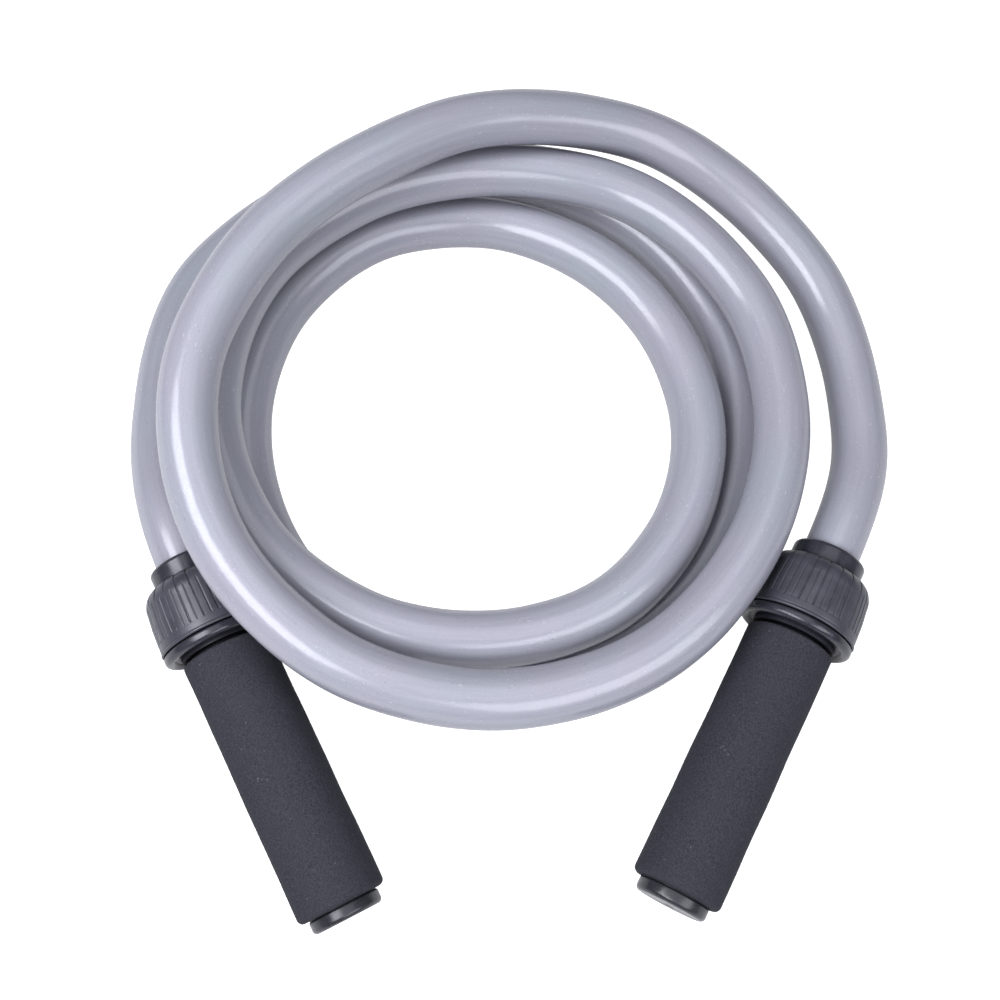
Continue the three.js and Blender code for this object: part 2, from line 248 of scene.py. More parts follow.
def moulded_finish(name, colour, roughness, texture):
    """Black moulded plastic with a fine spark-eroded texture, faintly polished patches, and painted
    shade in its corners and recesses.
    """
    s = Shader(name)
    fine = s.noise(0.4 * MM, detail=2, roughness=0.6)
    patch = s.noise(8 * MM, detail=3)
    light = grey(*(1.35 * channel for channel in colour))
    body = s.mix(s.remap(patch, 0.35, 0.7), grey(*colour), light)
    body = s.mix(s.remap(fine, 0.5, 0.8, 0, 0.3), body, grey(0.09, 0.09, 0.1))
    handled = s.remap(patch, 0.35, 0.65, roughness - 0.04, roughness + 0.06)
    # painted shade: corners and recesses, such as the gap under the flange and the grooves, are
    # painted near black and made dull there
    unshaded = s.unshaded(5 * MM, 0.3, 0.75)
    body = s.mix(unshaded, grey(0.006, 0.006, 0.008), body)
    handled = s.math("ADD", handled, s.remap(unshaded, 0, 1, 0.45, 0))
    s.set(Base_Color=body, Roughness=handled, IOR=1.5,
          Specular_IOR_Level=s.remap(unshaded, 0, 1, 0.02, 0.5))
    scratch = s.remap(s.noise(0.4 * MM, detail=1, stretch=9), 0.7, 0.78)
    s.bump((fine, texture), (scratch, -0.015 * MM))
    return s.material


def metal_finish(name, colour, roughness, straight):
    """Ground metal: fine turning lines round the piece, and a little tarnish."""
    s = Shader(name, straight)
    lines = s.noise(1.5 * MM, detail=2, stretch=0.06)
    tarnish = s.noise(4 * MM, detail=3)
    dark = grey(*(0.6 * channel for channel in colour))
    body = s.mix(s.remap(tarnish, 0.35, 0.75, 0, 0.5), grey(*colour), dark)
    s.set(Base_Color=body, Metallic=1.0)
    s.set(Roughness=s.remap(lines, 0.3, 0.7, roughness - 0.06, roughness + 0.1))
    s.bump((lines, 0.01 * MM))
    return s.material


FINISHES = {
    "cord": cord_finish(),
    "foam": foam_finish(),
    "collar": moulded_finish("satin_black_plastic", (0.036, 0.036, 0.046), 0.34, 0.032 * MM),
    "core": moulded_finish("smooth_black_plastic", (0.021, 0.021, 0.028), 0.22, 0.007 * MM),
    "cap": moulded_finish("gloss_black_plastic", (0.016, 0.016, 0.020), 0.28, 0.004 * MM),
    "steel": metal_finish("bright_steel", (0.60, 0.60, 0.62), 0.26, True),
    "brass": metal_finish("pressed_brass", (0.60, 0.45, 0.18), 0.34, False),
}


# ---------------------------------------------------------------- making pieces

SHARP_ANGLE = math.radians(38)


def new_piece(name, points, straight, faces, finish):
    """A smooth-shaded object whose material reads its straightened coordinates."""
    mesh = bpy.data.meshes.new(name)
    mesh.from_pydata(points.tolist(), [], faces)
    laid_out = mesh.attributes.new("straight", "FLOAT_VECTOR", "POINT")
    laid_out.data.foreach_set("vector", np.asarray(straight, np.float32).ravel())
    mesh.materials.append(FINISHES[finish])
    mesh.shade_smooth()
    work = bmesh.new()
    work.from_mesh(mesh)
    bmesh.ops.recalc_face_normals(work, faces=work.faces)
    work.to_mesh(mesh)
    work.free()
    mesh.set_sharp_from_angle(angle=SHARP_ANGLE)
    piece = bpy.data.objects.new(name, mesh)
    bpy.context.scene.collection.objects.link(piece)
    return piece


def grid_faces(rows, columns, closed):
    """Quads between neighbouring rows of points. Columns always run all the way round."""
    faces = []
    for row in range(rows if closed else rows - 1):
        lower = row * columns
        upper = ((row + 1) % rows) * columns
        for column in range(columns):
            after = (column + 1) % columns
            faces.append((lower + column, lower + after, upper + after, upper + column))
    return faces


# ---------------------------------------------------------------- the cord

CORD_SIDES = 48
CORD_STEP = 3 * MM
CORD_SWELL = 1.008  # the round cord against the corners of the faceted one
CORD_CHAMFER = 0.8 * MM
FACETS = 12  # sides of the CAD cord
CUT_AWAY = 70 * MM  # from a bend to the joint line between the coil and an end
STRAIGHT_PART = 46 * MM  # how far the cord keeps to the handle's axis
# Each wave of the cord's surface: length and depth in mm, lobes round the cord, and phase.
CORD_WAVES = ((53, 0.07, 1, 0.4), (31, 0.05, 2, 2.1), (87, 0.09, 2, 4.0))


def cord_radius():
    """The CAD cord's radius, from the end face that sits in the right socket."""
    axis = AXES["right"]
    points = node_points("right_rope_tail") - axis.origin
    distance = points @ axis.along
    face = points[distance < distance.min() + 1 * MM]
    return np.linalg.norm(np.cross(face, axis.along), axis=1).max()


CORD_RADIUS = cord_radius()


class Course:
    """A smooth curve through points, read by the distance along it."""

    def __init__(self, points):
        self.points = np.array(points)
        steps = np.linalg.norm(np.diff(self.points, axis=0), axis=1)
        self.knots = np.concatenate([[0], np.cumsum(steps)])
        count = len(self.knots)
        system = np.eye(count)
        wanted = np.zeros((count, 3))
        slopes = np.diff(self.points, axis=0) / steps[:, None]
        for i in range(1, count - 1):
            system[i, i - 1] = steps[i - 1]
            system[i, i] = 2 * (steps[i - 1] + steps[i])
            system[i, i + 1] = steps[i]
            wanted[i] = 6 * (slopes[i] - slopes[i - 1])
        self.bends = np.linalg.solve(system, wanted)

    def at(self, distance):
        """Points on the curve, and its unit directions there."""
        i = np.clip(np.searchsorted(self.knots, distance) - 1, 0, len(self.knots) - 2)
        step = (self.knots[i + 1] - self.knots[i])[:, None]
        b = (distance - self.knots[i])[:, None] / step
        a = 1 - b
        low, high = self.points[i], self.points[i + 1]
        bend_low, bend_high = self.bends[i], self.bends[i + 1]
        curl = ((a**3 - a) * bend_low + (b**3 - b) * bend_high) * step**2 / 6
        turn = ((1 - 3 * a**2) * bend_low + (3 * b**2 - 1) * bend_high) * step / 6
        direction = (high - low) / step + turn
        direction /= np.linalg.norm(direction, axis=1)[:, None]
        return a * low + b * high + curl, direction


def section_centres(node, bend):
    """The middles of a faceted cord's cross-sections, in order away from its end at a bend.
    Each step takes the corners next to the last ones, and the far end has none."""
    mesh = frame["nodes"][node].data
    corners, merged = np.unique(node_points(node), axis=0, return_inverse=True)
    merged = merged.ravel()
    near = [set() for _ in corners]
    for edge in mesh.edges:
        first, second = (int(merged[v]) for v in edge.vertices)
        near[first].add(second)
        near[second].add(first)
    away = np.linalg.norm(corners - bend, axis=1)
    front = set(np.flatnonzero(away < 1.1 * CORD_RADIUS).tolist())
    seen = set(front)
    centres = []
    while True:
        front = set().union(*(near[i] for i in front)) - seen
        if len(front) != FACETS:
            return centres
        seen |= front
        centres.append(corners[sorted(front)].mean(axis=0))


def cord_course():
    """The course of the whole cord from the right handle to the left one, and where its two
    bends are along it."""
    middle = {}
    bends = {side: np.array(JOINTS[f"{side}_rope_end_swing"]["pos_m"]) for side in SIDES}
    for side in SIDES:
        axis = AXES[side]
        start = axis.span("rope_tail")[0]
        straight = [axis.point(start), axis.point((start + STRAIGHT_PART) / 2)]
        curved = section_centres(f"{side}_rope_tail", bends[side])
        beyond = [c for c in curved if (c - axis.origin) @ axis.along > STRAIGHT_PART]
        middle[side] = straight + beyond[::-1] + [bends[side]]
    coil = section_centres("rope_coil", bends["right"])
    course = Course(middle["right"] + coil + middle["left"][::-1])
    right = course.knots[len(middle["right"]) - 1]
    left = course.knots[-len(middle["left"])]
    return course, right, left


def cord_piece(name, course, start, end, chamfers):
    """One length of the cord. A chamfered end is a cut end that shows in its socket."""
    stations = np.linspace(start, end, max(2, round((end - start) / CORD_STEP)))
    radii = np.full(len(stations), CORD_RADIUS * CORD_SWELL)
    for at_end, place in ((0, start), (-1, end)):
        if place in chamfers:
            radii[at_end] -= CORD_CHAMFER
    centres, direction = course.at(stations)
    level = np.cross((0, 0, 1), direction)
    level /= np.linalg.norm(level, axis=1)[:, None]
    up = np.cross(direction, level)
    angle = np.arange(CORD_SIDES) * math.tau / CORD_SIDES
    outward = np.cos(angle)[None, :, None] * level[:, None]
    outward = outward + np.sin(angle)[None, :, None] * up[:, None]
    radius = radii[:, None] + cord_unevenness(stations, angle)
    points = centres[:, None] + radius[..., None] * outward
    points[..., 2] = np.maximum(points[..., 2], 0)  # a soft cord flattens on the floor
    straight = np.stack([radius * np.cos(angle), radius * np.sin(angle),
                         np.repeat(stations[:, None], CORD_SIDES, axis=1)], axis=-1)
    faces = grid_faces(len(stations), CORD_SIDES, False)
    faces.append(tuple(range(CORD_SIDES)))
    faces.append(tuple(range((len(stations) - 1) * CORD_SIDES, len(stations) * CORD_SIDES)))
    piece = new_piece(name, points.reshape(-1, 3), straight.reshape(-1, 3), faces, "cord")
    exact_shading(piece.data, outward.reshape(-1, 3))
    return piece


def cord_unevenness(stations, angle):
    """How far an extruded cord strays from round: a slow, shallow waver along it."""
    waver = np.zeros((len(stations), len(angle)))
    for length, depth, turns, phase in CORD_WAVES:
        along = stations[:, None] * math.tau / (length * MM)
        waver += depth * MM * np.cos(along + phase) * np.cos(turns * angle[None, :] + phase)
    return waver


def exact_shading(mesh, outward):
    """Gives the sides their true directions, so that the shading runs on unbroken from one
    length of cord to the next. Flat ends keep their own."""
    normals = np.zeros((len(mesh.loops), 3))
    for face in mesh.polygons:
        flat = len(face.vertices) > 4
        for loop in face.loop_indices:
            normals[loop] = face.normal if flat else outward[mesh.loops[loop].vertex_index]
    mesh.normals_split_custom_set(normals.tolist())


def build_cord():
    course, right_bend, left_bend = cord_course()
    start, end = course.knots[0], course.knots[-1]
    right_cut = right_bend + CUT_AWAY
    left_cut = left_bend - CUT_AWAY
    coil = cord_piece("cord_coil", course, right_cut, left_cut, ())
    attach(coil, "coil")
    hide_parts("rope_coil")
    ends = (("right", start, right_cut, start, right_bend, -1),
            ("left", left_cut, end, end, left_bend, 1))
    for side, low, high, chamfer, bend, towards in ends:
        piece = cord_piece(f"{side}_cord_end", course, low, high, (chamfer,))
        places, direction = course.at(np.array([bend]))
        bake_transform(piece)
        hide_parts(f"{side}_rope_tail")


# ---------------------------------------------------------------- turned pieces

TURNED_SIDES = 144


def arc(distance, radius, size, start, end, steps=8):
    """Points on an arc in a profile. 0 degrees points away from the axis, 90 towards the cord."""
    angles = np.radians(np.linspace(start, end, steps + 1))
    return [(distance + size * math.sin(a), radius + size * math.cos(a)) for a in angles]


def finely(profile, step):
    """The same outline with no side longer than step."""
    fine = []
    for (d0, r0), (d1, r1) in zip(profile, profile[1:] + profile[:1]):
        pieces = max(1, math.ceil(math.hypot(d1 - d0, r1 - r0) / step))
        fine += [(d0 + (d1 - d0) * i / pieces, r0 + (r1 - r0) * i / pieces) for i in range(pieces)]
    return fine


def outline_normals(outline):
    """Unit directions across a closed outline at its points, pointing out of it."""
    ahead = np.roll(outline, -1, axis=0) - np.roll(outline, 1, axis=0)
    across = np.stack([-ahead[:, 1], ahead[:, 0]], axis=1)
    across /= np.linalg.norm(across, axis=1)[:, None]
    area = outline[:, 0] @ np.roll(outline[:, 1], -1) - outline[:, 1] @ np.roll(outline[:, 0], -1)
    return across if area < 0 else -across


def turned(name, axis, profile, finish, relief=None, sides=TURNED_SIDES, cut=None):
    """A closed solid of revolution. The profile is a list of (distance, radius) round the
    outline of its section; one that starts and ends at radius 0 closes on the axis. The
    relief gives how far each point stands out from the plain surface, and the cut gives the
    radius that is left of it."""
    outline = np.array(profile, float)
    solid = outline[0, 1] == 0
    angle = np.arange(sides) * math.tau / sides
    distance = np.repeat(outline[:, :1], sides, axis=1)
    radius = np.repeat(outline[:, 1:], sides, axis=1)
    if relief is not None:
        across = outline_normals(outline)
        height = relief(distance, radius, angle[None, :])
        distance = distance + height * across[:, :1]
        radius = radius + height * across[:, 1:]
    if cut is not None:
        radius = cut(radius, angle[None, :])
    angles = np.repeat(angle[None, :], len(outline), axis=0)
    points = axis.place(distance, radius, angles)
    straight = np.stack([radius * np.cos(angles), radius * np.sin(angles), distance], axis=-1)
    faces = grid_faces(len(outline), sides, not solid)
    piece = new_piece(name, points.reshape(-1, 3), straight.reshape(-1, 3), faces, finish)
    if solid:
        work = bmesh.new()
        work.from_mesh(piece.data)
        bmesh.ops.remove_doubles(work, verts=work.verts, dist=1e-6)
        bmesh.ops.recalc_face_normals(work, faces=work.faces)
        work.to_mesh(piece.data)
        work.free()
    return piece


def stand_for(piece, side, node, body):
    """Makes a piece of one handle move with a body and take a CAD node's place."""
    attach(piece, f"{side}_{body}")
    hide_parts(f"{side}_{node}")


def smooth_step(value, low, high):
    share = np.clip((value - low) / (high - low), 0, 1)
    return share * share * (3 - 2 * share)


# The neck socket: its rounded lip is the ring that the cord comes out of.
LIP_ROUND = 1.9 * MM
BORE_ROUND = 0.6 * MM
SOCKET_FOOT_ROUND = 0.5 * MM
SOCKET_FLOOR = 5.2 * MM  # thickness under the end of the cord
SOCKET_PLAY = 0.25 * MM  # between the cord and the socket


def neck_socket(axis):
    foot, tip, outside, bolt_hole = axis.span("rope_socket")
    bore = CORD_RADIUS * CORD_SWELL + SOCKET_PLAY
    profile = [
        (foot, bolt_hole),
        *arc(foot + SOCKET_FOOT_ROUND, outside - SOCKET_FOOT_ROUND, SOCKET_FOOT_ROUND, -90, 0, 4),
        *arc(tip - LIP_ROUND, outside - LIP_ROUND, LIP_ROUND, 0, 90, 10),
        *arc(tip - BORE_ROUND, bore + BORE_ROUND, BORE_ROUND, 90, 180, 5),
        (foot + SOCKET_FLOOR, bore),
        (foot + SOCKET_FLOOR, bolt_hole),
    ]
    piece = turned(f"{axis.side}_neck_socket", axis, finely(profile, 4 * MM), "core")
    stand_for(piece, axis.side, "rope_socket", "rope_end")


# The screw collar: a bell with finger pads between grooves. Every second groove is a deep one
# that runs up to the neck; the ones between are shallow and stop at the shoulder.
PADS = 24
DEEP_GROOVE = 0.42 * MM
DEEP_WIDTH = 0.42 * MM
SHALLOW_GROOVE = 0.24 * MM
SHALLOW_WIDTH = 0.3 * MM
BAND_HEIGHT = 4.9 * MM  # the plain band at the collar's foot
BAND_LINE = 0.11 * MM
SHOULDER = 9 * MM  # height of the domed part
DOME_INSET = 1.7 * MM
COLLAR_WALL = 3.9 * MM
FOOT_BEAD = 0.8 * MM
DOME_STEPS = 12
COLLAR_SIDES = PADS * 36


def collar_relief(foot, top, radius):
    """How far the collar's surface stands out, with the grooves and the band's line cut in."""
    def relief(distance, from_axis, angle):
        outside = smooth_step(from_axis, 0.84 * radius, 0.85 * radius)
        dome = smooth_step(distance, top - SHOULDER - 1 * MM, top - SHOULDER)
        outside = np.maximum(outside, dome * smooth_step(from_axis, 17.9 * MM, 18.6 * MM))
        outside = outside * smooth_step(distance, foot + 0.5 * MM, foot + 1.2 * MM)
        above_band = smooth_step(distance, foot + BAND_HEIGHT - 0.15 * MM,
                                 foot + BAND_HEIGHT + 0.4 * MM)
        pitch = math.tau / PADS
        deep = np.abs((angle / pitch + 0.5) % 1 - 0.5) * pitch * from_axis
        shallow = np.abs((angle / pitch) % 1 - 0.5) * pitch * from_axis
        line = np.abs(distance - foot - BAND_HEIGHT)
        height = -DEEP_GROOVE * np.exp(-((deep / DEEP_WIDTH) ** 4)) * above_band
        fade = 1 - smooth_step(distance, top - SHOULDER + 1 * MM, top - SHOULDER + 4 * MM)
        cut = SHALLOW_GROOVE * np.exp(-((shallow / SHALLOW_WIDTH) ** 4))
        height = height - cut * above_band * fade
        height = height - BAND_LINE * np.exp(-((line / (0.4 * MM)) ** 2))
        return height * outside
    return relief


def ribbed_collar(axis):
    foot, top, radius, mouth = axis.span("screw_collar")
    thread = radius - COLLAR_WALL
    shoulder = top - SHOULDER
    dome = radius - DOME_INSET
    outside = [
        (foot, radius - 1.6 * MM),
        *arc(foot + FOOT_BEAD, radius - FOOT_BEAD, FOOT_BEAD, -80, 70, 9),
        (foot + 2.1 * MM, radius - 0.45 * MM),
        (foot + BAND_HEIGHT, radius - 0.5 * MM),
        (foot + 13 * MM, radius - 0.95 * MM),
    ]
    for i in range(DOME_STEPS + 1):
        turn = math.radians(90 * i / DOME_STEPS)
        reach = (dome - mouth) * math.cos(turn)
        outside.append((shoulder + (top - shoulder) * math.sin(turn), mouth + reach))
    inside = [(top - 3 * MM, mouth), (top - 8.4 * MM, thread), (foot, thread)]
    profile = finely(outside, 0.5 * MM)
    profile = profile[:profile.index(outside[-1]) + 1] + inside
    piece = turned(f"{axis.side}_ribbed_collar", axis, profile, "collar",
                   collar_relief(foot, top, radius), COLLAR_SIDES)
    stand_for(piece, axis.side, "screw_collar", "handle")


UNDERCUT = 2.7 * MM  # the dark gap between the flange and the foam
UNDERCUT_RISE = 1.6 * MM  # how much farther it goes up behind the flange's edge
UNDERCUT_LIP = 2.4 * MM
CUP_PLAY = 1.1 * MM  # round the neck socket
CUP_DEPTH_PLAY = 0.6 * MM
CUP_WALL = 1.2 * MM
TUBE_WALL = 2.4 * MM
FLANGE_EDGE = 2.3 * MM
FLANGE_RIM = 1.2 * MM
FLANGE_FACE = -0.35 * MM  # just under the collar's foot
RACE_PLAY = 0.15 * MM
CORE_THREADS = 5
CORE_THREAD_PITCH = 2.4 * MM


def grip_core(axis):
    """The moulded core: threaded cup, rounded flange, bearing seat and the tube in the foam."""
    foot, top, flange, passage = axis.span("handle_core")
    seat = axis.span("bearing_outer_ring")
    under = axis.span("foam_grip")[1] + UNDERCUT
    tube = axis.span("foam_grip")[3] - 0.4 * MM
    bore = tube - TUBE_WALL
    cup = axis.span("rope_socket")[2] + CUP_PLAY
    cup_floor = axis.span("rope_socket")[0] - CUP_DEPTH_PLAY
    thread = cup + 4 * MM
    race = seat[2] + 0.2 * MM
    recess = flange - FLANGE_EDGE - UNDERCUT_LIP
    profile = [
        (cup_floor, cup),
        (cup_floor, passage),
        (seat[1] + RACE_PLAY, passage),
        (seat[1] + RACE_PLAY, race),
        (seat[0] - RACE_PLAY, race),
        (seat[0] - RACE_PLAY, bore),
        (foot, bore),
        (foot, tube),
        (cup_floor - CUP_WALL, tube),
        (cup_floor - CUP_WALL, cup + CUP_WALL),
        (under + UNDERCUT_RISE, cup + CUP_WALL),
        (under + UNDERCUT_RISE, recess),
        *arc(under + FLANGE_EDGE, flange - FLANGE_EDGE, FLANGE_EDGE, -100, 0, 13),
        *arc(FLANGE_FACE - FLANGE_RIM, flange - FLANGE_RIM, FLANGE_RIM, 0, 90, 6),
        (FLANGE_FACE, thread),
    ]
    for turn in range(CORE_THREADS):
        low = FLANGE_FACE + 1.5 * MM + CORE_THREAD_PITCH * turn
        profile += [(low, thread), (low + 0.8 * MM, thread + 0.28 * MM), (low + 1.6 * MM, thread)]
    profile += [(top, thread - 0.3 * MM), (top, cup)]
    piece = turned(f"{axis.side}_grip_core", axis, finely(profile, 6 * MM), "core")
    stand_for(piece, axis.side, "handle_core", "handle")


# The foam sleeve: slightly uneven, with rolled ends and a cellular surface.
FOAM_ROUND = 2.6 * MM
FOAM_TUCK = 1.1 * MM  # the tighter round at the flange
FOAM_GRAIN = 0.07 * MM
FOAM_WAVER = 0.28 * MM
FOAM_SIDES = 168


def foam_relief(seed):
    """A slow waver of the sleeve, and the cells on its outside."""
    def relief(distance, radius, angle):
        height = np.zeros(radius.shape)
        angles = np.broadcast_to(angle, radius.shape)
        for (i, j), r in np.ndenumerate(radius):
            a, d = angles[i, j], distance[i, j]
            place = Vector((r * math.cos(a), r * math.sin(a), d + seed)) / MM
            slow = noise.noise(Vector((place.x / 26, place.y / 26, place.z / 22)))
            cells = noise.noise(place / 1.1) + 0.6 * noise.noise(place / 0.55)
            height[i, j] = FOAM_WAVER * slow + FOAM_GRAIN * cells
        return height * smooth_step(radius, 16.5 * MM, 18 * MM)
    return relief


def foam_sleeve(axis, seed):
    foot, top, radius, bore = axis.span("foam_grip")
    profile = [
        (foot, bore),
        *arc(foot + FOAM_ROUND, radius - FOAM_ROUND, FOAM_ROUND, -90, 0, 8),
        *arc(top - FOAM_TUCK, radius - FOAM_TUCK, FOAM_TUCK, 0, 90, 5),
        (top, bore),
    ]
    outside = finely(profile, 0.75 * MM)
    outside = outside[:outside.index(profile[-1]) + 1]
    piece = turned(f"{axis.side}_foam_sleeve", axis, outside, "foam", foam_relief(seed),
                   FOAM_SIDES)
    stand_for(piece, axis.side, "foam_grip", "handle")


CAP_ROUND = 2.1 * MM
CAP_SHOULDER = 0.9 * MM
CAP_GAP = 0.35 * MM  # between the cap and the foam
CAP_DIMPLE = 0.25 * MM
SPIGOT_INSET = 4.1 * MM
SPIGOT_CHAMFER = 0.6 * MM


def grip_cap(axis):
    face, spigot_top, radius, _ = axis.span("end_cap")
    top = axis.span("foam_grip")[0] - CAP_GAP
    spigot = radius - SPIGOT_INSET
    profile = [
        (face + CAP_DIMPLE, 0),
        (face + CAP_DIMPLE, 2 * MM),
        (face, 2.6 * MM),
        *arc(face + CAP_ROUND, radius - CAP_ROUND, CAP_ROUND, -90, 0, 10),
        *arc(top - CAP_SHOULDER, radius - CAP_SHOULDER, CAP_SHOULDER, 0, 90, 6),
        (top, spigot),
        (spigot_top - SPIGOT_CHAMFER, spigot),
        (spigot_top, spigot - SPIGOT_CHAMFER),
        (spigot_top, 0),
    ]
    piece = turned(f"{axis.side}_grip_cap", axis, profile, "cap")
    stand_for(piece, axis.side, "end_cap", "handle")


# ---------------------------------------------------------------- inside the handles

SMALL_SIDES = 72
FINE_SIDES = 48
RING_EDGE = 0.25 * MM
HEAD_HEIGHT = 5.3 * MM
BOLT_PITCH = 1.25 * MM
BOLT_THREADS = 9
NUT_CORNER = 0.8 * MM
PIN_EDGE = 0.4 * MM
BALLS = 7
BALL_PLAY = 0.15 * MM
OUTER_SHOULDER = 0.62 * MM  # how far the outer ring's shoulder stands in from its track


def ring_section(foot, top, inside, outside, outer_track=(), inner_track=()):
    """The section of a ring with rounded edges, and with a ball track outside or inside."""
    return [
        *arc(foot + RING_EDGE, inside + RING_EDGE, RING_EDGE, 180, 270, 3),
        *arc(foot + RING_EDGE, outside - RING_EDGE, RING_EDGE, -90, 0, 3),
        *outer_track,
        *arc(top - RING_EDGE, outside - RING_EDGE, RING_EDGE, 0, 90, 3),
        *arc(top - RING_EDGE, inside + RING_EDGE, RING_EDGE, 90, 180, 3),
        *inner_track,
    ]


def track_half_angle(shoulder, pitch, track):
    """Half the angle that a ring's ball track spans, up to the ring's shoulder."""
    return math.degrees(math.acos(abs(shoulder - pitch) / track))


def hexagon(across_corners):
    """Cuts a round blank to a hexagon."""
    def cut(radius, angle):
        flat = across_corners * math.cos(math.pi / 6)
        edge = flat / np.cos(angle % (math.pi / 3) - math.pi / 6)
        return np.minimum(radius, edge)
    return cut


def steel_piece(axis, name, node, profile, body, cut=None):
    piece = turned(f"{axis.side}_{name}", axis, profile, "steel", sides=SMALL_SIDES, cut=cut)
    stand_for(piece, axis.side, node, body)


def bearing(axis):
    """The two rings of the ball bearing and its balls."""
    centres = []
    for number in range(1, BALLS + 1):
        points = node_points(f"{axis.side}_ball_{number}")
        centres.append((points.min(axis=0) + points.max(axis=0)) / 2)
    size = np.linalg.norm(points - centres[-1], axis=1).max()
    middle = (centres[0] - axis.origin) @ axis.along
    pitch = np.linalg.norm(np.cross(centres[0] - axis.origin, axis.along))
    track = size + BALL_PLAY
    foot, top, outside, inside = axis.span("bearing_inner_ring")
    half = track_half_angle(outside, pitch, track)
    groove = arc(middle, pitch, track, 180 + half, 180 - half, 14)
    steel_piece(axis, "inner_race", "bearing_inner_ring",
                ring_section(foot, top, inside, outside, outer_track=groove), "rope_end")
    foot, top, outside, _ = axis.span("bearing_outer_ring")
    shoulder = pitch + (track - OUTER_SHOULDER)
    half = track_half_angle(shoulder, pitch, track)
    groove = arc(middle, pitch, track, half, -half, 14)
    steel_piece(axis, "outer_race", "bearing_outer_ring",
                ring_section(foot, top, shoulder, outside, inner_track=groove), "handle")
    for number, centre in enumerate(centres, 1):
        profile = [(-size, 0), *arc(0, 0, size, -90, 90, 24)[1:-1], (size, 0)]
        ball = turned(f"{axis.side}_steel_ball_{number}", Axis(centre, axis.along), profile,
                      "steel", sides=FINE_SIDES)
        stand_for(ball, axis.side, f"ball_{number}", "bearing_cage")


def swivel_bolt(axis):
    end, top, across, _ = axis.span("swivel_bolt")
    shank = axis.span("lock_nut")[3] - 0.35 * MM
    head = top - HEAD_HEIGHT
    profile = [(end, 0), (end, shank - 0.7 * MM), (end + 0.6 * MM, shank - 0.1 * MM)]
    for turn in range(BOLT_THREADS):
        low = end + 0.8 * MM + turn * BOLT_PITCH
        profile += [(low, shank - 0.35 * MM), (low + BOLT_PITCH / 2, shank)]
    profile += [
        (head, shank),
        (head, across - 0.5 * MM),
        (head + 0.3 * MM, across),
        (top - 1 * MM, across),
        (top, across - 1.2 * MM),
        (top - 0.3 * MM, across - 2 * MM),
        (top - 0.3 * MM, 0),
    ]
    steel_piece(axis, "hex_bolt", "swivel_bolt", profile, "rope_end", hexagon(across))


def lock_nut(axis):
    foot, top, across, bore = axis.span("lock_nut")
    profile = [
        (foot, bore + 0.4 * MM),
        (foot, across - 1.1 * MM),
        (foot + NUT_CORNER, across),
        (top - NUT_CORNER, across),
        (top, across - 1.1 * MM),
        (top, bore + 0.4 * MM),
        (top - 0.4 * MM, bore),
        (foot + 0.4 * MM, bore),
    ]
    steel_piece(axis, "hex_nut", "lock_nut", profile, "rope_end", hexagon(across))


def flat_rings(axis):
    for name, node in (("flat_washer", "washer"), ("distance_ring", "spacer")):
        foot, top, outside, inside = axis.span(node)
        steel_piece(axis, name, node, ring_section(foot, top, inside, outside), "rope_end")


def cross_pin(axis):
    """The pin through the neck socket and the cord's end."""
    points = node_points(f"{axis.side}_retaining_pin")
    centre = points.mean(axis=0)
    along = np.linalg.svd(points - centre, full_matrices=False)[2][0]
    if abs(along[2]) > 0.9:
        along = along * np.sign(along[2])
    line = Axis(centre, along)
    half = np.abs((points - centre) @ along).max()
    radius = np.linalg.norm(np.cross(points - centre, along), axis=1).max()
    profile = [
        (-half, 0),
        *arc(PIN_EDGE - half, radius - PIN_EDGE, PIN_EDGE, -90, 0, 4),
        *arc(half - PIN_EDGE, radius - PIN_EDGE, PIN_EDGE, 0, 90, 4),
        (half, 0),
    ]
    pin = turned(f"{axis.side}_cross_pin", line, profile, "steel", sides=FINE_SIDES)
    stand_for(pin, axis.side, "retaining_pin", "rope_end")


# ---------------------------------------------------------------- floor, light and camera

CAMERA_ELEVATION = math.radians(70)
CAMERA_DISTANCE = 650 * MM
CAMERA_AIM = Vector((-4.7 * MM, 6.4 * MM, 0))
SENSOR = 36  # width, in real millimetres of camera
LENS = 1.364 * SENSOR
FLOOR_HALF = 6.0
FLOOR_IN_MIRRORS = 0.4  # the floor's own light, as glossy surfaces see it
STUDIO_TINT = (0.95, 0.96, 1.04, 1.0)
SKY_LIGHT = 0.1


def build_camera():
    back = Vector((0, -math.cos(CAMERA_ELEVATION), math.sin(CAMERA_ELEVATION)))
    data = bpy.data.cameras.new("camera")
    data.sensor_width = SENSOR
    data.lens = LENS
    camera = bpy.data.objects.new("camera", data)
    camera.location = CAMERA_AIM + back * CAMERA_DISTANCE
    camera.rotation_mode = "QUATERNION"
    camera.rotation_quaternion = (-back).to_track_quat("-Z", "Y")
    bpy.context.scene.collection.objects.link(camera)
    bpy.context.scene.camera = camera


def build_floor():
    """A pale floor. It glows white to the camera, so that no shadow shows on it."""
    mesh = bpy.data.meshes.new("floor")
    corners = [(x * FLOOR_HALF, y * FLOOR_HALF, 0) for x, y in ((-1, -1), (1, -1), (1, 1), (-1, 1))]
    mesh.from_pydata(corners, [], [(0, 1, 2, 3)])
    floor = bpy.data.objects.new("floor", mesh)
    bpy.context.scene.collection.objects.link(floor)
    s = Shader("pale_floor", straight=False)
    cloud = s.remap(s.noise(120 * MM), 0.3, 0.7)
    shade = s.mix(cloud, grey(0.42, 0.42, 0.43), grey(0.46, 0.46, 0.46))
    s.set(Base_Color=shade, Roughness=0.9, Specular_IOR_Level=0.1)
    rays = s.add("LightPath").outputs
    mirrored = s.math("MULTIPLY", rays["Is Glossy Ray"], FLOOR_IN_MIRRORS)
    seen = s.math("MAXIMUM", rays["Is Camera Ray"], mirrored)
    s.set(Emission_Color=grey(1.0, 1.0, 1.0), Emission_Strength=seen)
    mesh.materials.append(s.material)


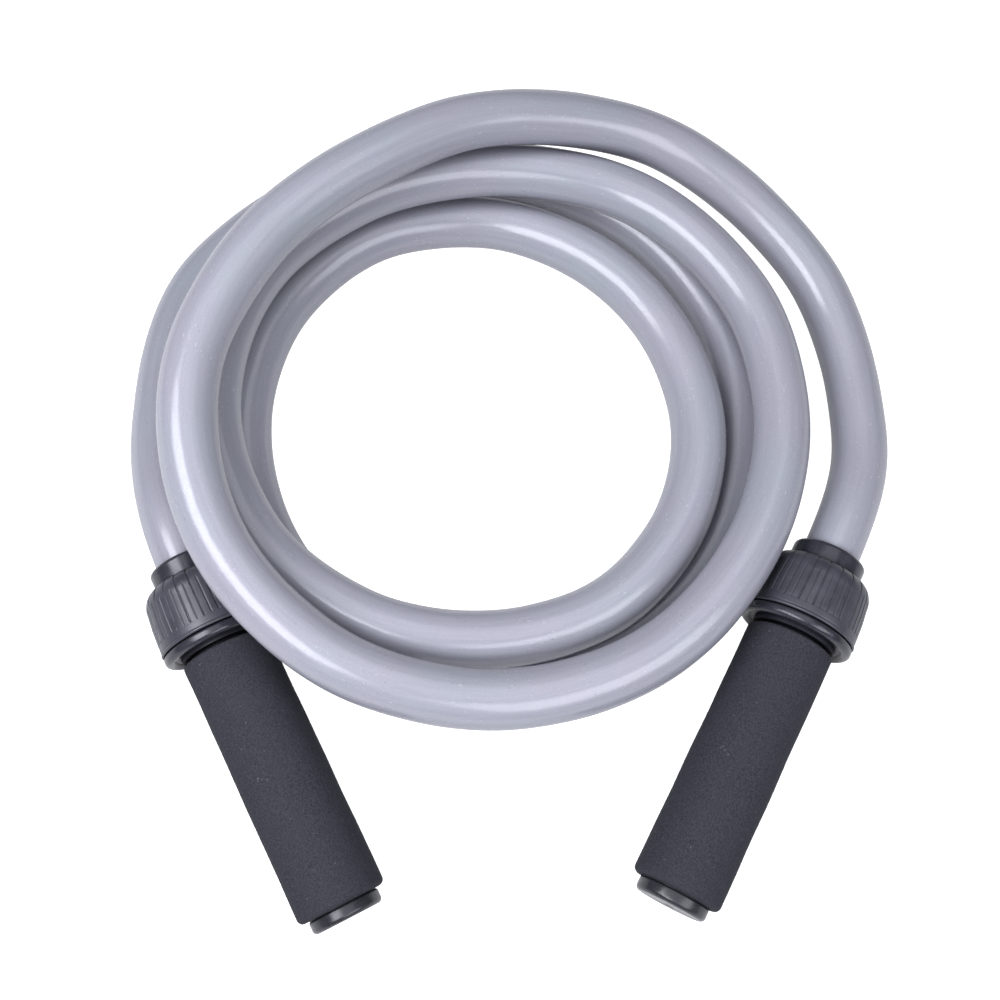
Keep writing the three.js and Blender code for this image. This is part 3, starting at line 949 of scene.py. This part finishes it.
def softbox(name, azimuth, elevation, distance, width, height, power):
    """A soft light that faces the middle of the rope. Angles in degrees."""
    a, e = math.radians(azimuth), math.radians(elevation)
    back = Vector((math.cos(a) * math.cos(e), math.sin(a) * math.cos(e), math.sin(e)))
    data = bpy.data.lights.new(name, "AREA")
    data.shape = "RECTANGLE"
    data.size = width
    data.size_y = height
    data.energy = power
    data.color = STUDIO_TINT[:3]
    light = bpy.data.objects.new(name, data)
    light.location = back * distance
    light.rotation_mode = "QUATERNION"
    light.rotation_quaternion = (-back).to_track_quat("-Z", "Y")
    bpy.context.scene.collection.objects.link(light)


def build_light():
    """Three softboxes, and a sky that lights faintly but looks white to the camera."""
    softbox("key", 208, 57, 1.1, 1.1, 0.52, 15.0)
    softbox("front", -48, 43, 1.1, 1.0, 0.55, 7.5)
    softbox("top", 90, 84, 1.3, 1.4, 1.2, 7.0)
    world = bpy.data.worlds.new("studio")
    world.use_nodes = True
    background = world.node_tree.nodes["Background"]
    background.inputs["Color"].default_value = STUDIO_TINT
    seen = world.node_tree.nodes.new("ShaderNodeLightPath").outputs["Is Camera Ray"]
    strength = world.node_tree.nodes.new("ShaderNodeMapRange")
    strength.inputs["To Min"].default_value = SKY_LIGHT
    strength.inputs["To Max"].default_value = 1.0
    world.node_tree.links.new(seen, strength.inputs["Value"])
    world.node_tree.links.new(strength.outputs["Result"], background.inputs["Strength"])
    bpy.context.scene.world = world
    bpy.context.scene.view_settings.view_transform = "Standard"


# ---------------------------------------------------------------- the whole rope

def finish_cages():
    """Gives the CAD cages, which stay, their brass."""
    for side in SIDES:
        cage = frame["nodes"][f"{side}_ball_cage"]
        cage.data.materials.clear()
        cage.data.materials.append(FINISHES["brass"])


build_cord()
for number, side in enumerate(SIDES):
    handle = AXES[side]
    neck_socket(handle)
    ribbed_collar(handle)
    grip_core(handle)
    foam_sleeve(handle, seed=0.5 * number)
    grip_cap(handle)
    bearing(handle)
    swivel_bolt(handle)
    lock_nut(handle)
    flat_rings(handle)
    cross_pin(handle)
finish_cages()
build_floor()
build_light()
build_camera()
